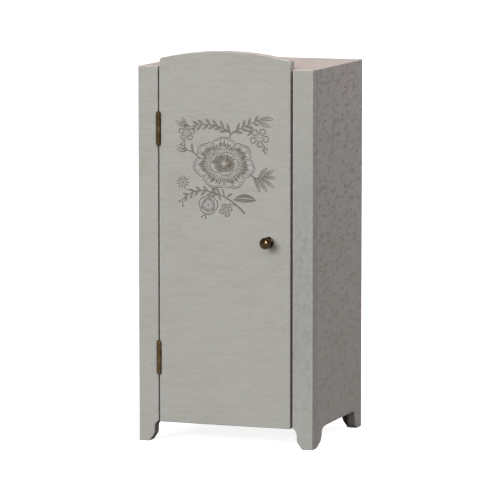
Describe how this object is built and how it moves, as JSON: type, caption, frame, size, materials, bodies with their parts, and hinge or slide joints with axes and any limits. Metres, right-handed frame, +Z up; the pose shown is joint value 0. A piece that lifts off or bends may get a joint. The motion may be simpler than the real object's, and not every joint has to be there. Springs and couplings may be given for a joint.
{
  "type": "miniature wardrobe",
  "caption": "Painted dolls house wardrobe with an arched hinged door, a turned metal knob, bracket feet and a hanging rail inside.",
  "frame": {"origin": "floor level, at the middle of the overall box, knob included", "axes": "+Z up, the door and its knob face -Y, the hinges are on the -X side"},
  "size_m": [0.096, 0.09, 0.2055],
  "materials": {
    "painted_board": "matt warm grey paint over fine woven-looking grain",
    "bare_wood": "plain sanded wood",
    "aged_brass": "dark antique brass, worn bright on high spots",
    "steel": "plated",
    "magnet": "dark sintered"
  },
  "bodies": {
    "case": {"left_stile": "painted_board", "right_stile": "painted_board", "left_side": "painted_board", "right_side": "painted_board", "back_panel": "painted_board", "top_panel": "painted_board", "bottom_panel": "painted_board", "hanging_rail": "bare_wood", "catch_magnet": "magnet", "upper_hinge_frame_leaf": "aged_brass", "upper_hinge_pin": "aged_brass", "upper_hinge_frame_nail_low": "aged_brass", "upper_hinge_frame_nail_high": "aged_brass", "lower_hinge_frame_leaf": "aged_brass", "lower_hinge_pin": "aged_brass", "lower_hinge_frame_nail_low": "aged_brass", "lower_hinge_frame_nail_high": "aged_brass"},
    "door": {"door": "painted_board", "catch_strike": "steel", "knob": "aged_brass", "knob_screw": "steel", "upper_hinge_door_leaf": "aged_brass", "upper_hinge_door_nail_low": "aged_brass", "upper_hinge_door_nail_high": "aged_brass", "lower_hinge_door_leaf": "aged_brass", "lower_hinge_door_nail_low": "aged_brass", "lower_hinge_door_nail_high": "aged_brass"}
  },
  "joints": [
    {"name": "door_hinge", "type": "hinge", "parent": "case", "child": "door", "pos_m": [-0.03662, -0.03725, 0.1045], "axis": [0, 0, -1], "range_deg": [0, 180]}
  ]
}
